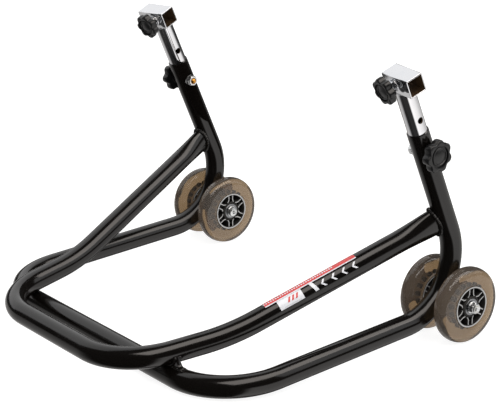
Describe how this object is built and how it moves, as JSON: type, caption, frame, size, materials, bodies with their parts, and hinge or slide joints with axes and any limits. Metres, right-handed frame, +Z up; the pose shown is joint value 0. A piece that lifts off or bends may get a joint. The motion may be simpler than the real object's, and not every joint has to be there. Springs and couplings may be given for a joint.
{
  "type": "paddock stand",
  "caption": "Motorcycle paddock stand: bent-tube rocking frame with a looped handle, paired scooter wheels, and telescopic posts with square receiver sockets.",
  "frame": {"origin": "on the floor, at the middle of the stand's box in X and Y", "axes": "+X across the stand to the side with the sticker, -Y towards the grip bar, +Z up"},
  "size_m": [0.6024, 0.502, 0.3683],
  "materials": {
    "black_paint": "gloss powder coat",
    "chrome_plate": "mirror",
    "knob_plastic": "fine moulded texture",
    "hub_plastic": "satin moulded nylon",
    "urethane": "clear smoky brown, glossy",
    "zinc_plate": "bright zinc",
    "yellow_zinc": "yellow passivated zinc",
    "bearing_steel": "ground steel",
    "sticker_red": "gloss vinyl",
    "sticker_white": "gloss vinyl"
  },
  "bodies": {
    "frame": {"base_tube": "black_paint", "handle_tube": "black_paint", "sticker_stripe": "sticker_red", "sticker_badge": "sticker_white", "sticker_marks": "sticker_white", "axle_boss_left": "black_paint", "axle_boss_right": "black_paint", "cross_gusset_left": "black_paint", "cross_gusset_right": "black_paint", "axle_bolt_left": "zinc_plate", "axle_bolt_right": "zinc_plate", "axle_nut_left": "zinc_plate", "axle_nut_right": "zinc_plate", "axle_washers_left": "zinc_plate", "axle_washers_right": "zinc_plate", "height_nut_left": "zinc_plate", "height_nut_right": "zinc_plate"},
    "wheel_left_outer": {"tyre_left_outer": "urethane", "hub_left_outer": "hub_plastic", "bearings_left_outer": "bearing_steel", "bearing_spacer_left_outer": "bearing_steel"},
    "wheel_left_inner": {"tyre_left_inner": "urethane", "hub_left_inner": "hub_plastic", "bearings_left_inner": "bearing_steel", "bearing_spacer_left_inner": "bearing_steel"},
    "wheel_right_inner": {"tyre_right_inner": "urethane", "hub_right_inner": "hub_plastic", "bearings_right_inner": "bearing_steel", "bearing_spacer_right_inner": "bearing_steel"},
    "wheel_right_outer": {"tyre_right_outer": "urethane", "hub_right_outer": "hub_plastic", "bearings_right_outer": "bearing_steel", "bearing_spacer_right_outer": "bearing_steel"},
    "post_left": {"post_tube_left": "chrome_plate", "receiver_socket_left": "chrome_plate", "clamp_nut_left": "chrome_plate"},
    "clamp_carrier_left": {"clamp_washer_left": "zinc_plate"},
    "clamp_screw_left": {"clamp_knob_left": "knob_plastic", "clamp_stud_left": "zinc_plate"},
    "height_carrier_left": {"height_washer_left": "zinc_plate"},
    "height_screw_left": {"height_knob_left": "knob_plastic", "height_stud_left": "yellow_zinc"},
    "post_right": {"post_tube_right": "chrome_plate", "receiver_socket_right": "chrome_plate", "clamp_nut_right": "chrome_plate"},
    "clamp_carrier_right": {"clamp_washer_right": "zinc_plate"},
    "clamp_screw_right": {"clamp_knob_right": "knob_plastic", "clamp_stud_right": "zinc_plate"},
    "height_carrier_right": {"height_washer_right": "zinc_plate"},
    "height_screw_right": {"height_knob_right": "knob_plastic", "height_stud_right": "yellow_zinc"}
  },
  "joints": [
    {"name": "wheel_left_outer_spin", "type": "hinge", "parent": "frame", "child": "wheel_left_outer", "pos_m": [-0.2783, 0.201, 0.05], "axis": [1, 0, 0], "continuous": true},
    {"name": "wheel_left_inner_spin", "type": "hinge", "parent": "frame", "child": "wheel_left_inner", "pos_m": [-0.2177, 0.201, 0.05], "axis": [1, 0, 0], "continuous": true},
    {"name": "wheel_right_inner_spin", "type": "hinge", "parent": "frame", "child": "wheel_right_inner", "pos_m": [0.2177, 0.201, 0.05], "axis": [1, 0, 0], "continuous": true},
    {"name": "wheel_right_outer_spin", "type": "hinge", "parent": "frame", "child": "wheel_right_outer", "pos_m": [0.2783, 0.201, 0.05], "axis": [1, 0, 0], "continuous": true},
    {"name": "post_left_height", "type": "slide", "parent": "frame", "child": "post_left", "axis": [0, -0.4004, 0.9163], "range_m": [-0.025, 0]},
    {"name": "clamp_left_travel", "type": "slide", "parent": "post_left", "child": "clamp_carrier_left", "axis": [0.1219, -0.9095, -0.3974], "range_m": [-0.0013, 0.0076]},
    {"name": "clamp_left_turn", "type": "hinge", "parent": "clamp_carrier_left", "child": "clamp_screw_left", "pos_m": [-0.248, 0.10605, 0.35154], "axis": [0.1219, -0.9095, -0.3974], "range_deg": [-360, 2160]},
    {"name": "height_left_travel", "type": "slide", "parent": "frame", "child": "height_carrier_left", "axis": [-1, 0, 0], "range_m": [0, 0.0126]},
    {"name": "height_left_turn", "type": "hinge", "parent": "height_carrier_left", "child": "height_screw_left", "pos_m": [-0.248, 0.14841, 0.25459], "axis": [-1, 0, 0], "range_deg": [0, 3600]},
    {"name": "post_right_height", "type": "slide", "parent": "frame", "child": "post_right", "axis": [0, -0.4004, 0.9163], "range_m": [-0.025, 0]},
    {"name": "clamp_right_travel", "type": "slide", "parent": "post_right", "child": "clamp_carrier_right", "axis": [-0.1219, -0.9095, -0.3974], "range_m": [-0.0013, 0.0076]},
    {"name": "clamp_right_turn", "type": "hinge", "parent": "clamp_carrier_right", "child": "clamp_screw_right", "pos_m": [0.248, 0.10605, 0.35154], "axis": [-0.1219, -0.9095, -0.3974], "range_deg": [-360, 2160]},
    {"name": "height_right_travel", "type": "slide", "parent": "frame", "child": "height_carrier_right", "axis": [1, 0, 0], "range_m": [0, 0.0126]},
    {"name": "height_right_turn", "type": "hinge", "parent": "height_carrier_right", "child": "height_screw_right", "pos_m": [0.248, 0.14841, 0.25459], "axis": [1, 0, 0], "range_deg": [0, 3600]}
  ],
  "couplings": [
    {"joint": "clamp_left_travel", "follows": "clamp_left_turn", "m_per_rad": 0.00019894},
    {"joint": "height_left_travel", "follows": "height_left_turn", "m_per_rad": 0.00019894},
    {"joint": "clamp_right_travel", "follows": "clamp_right_turn", "m_per_rad": 0.00019894},
    {"joint": "height_right_travel", "follows": "height_right_turn", "m_per_rad": 0.00019894}
  ]
}
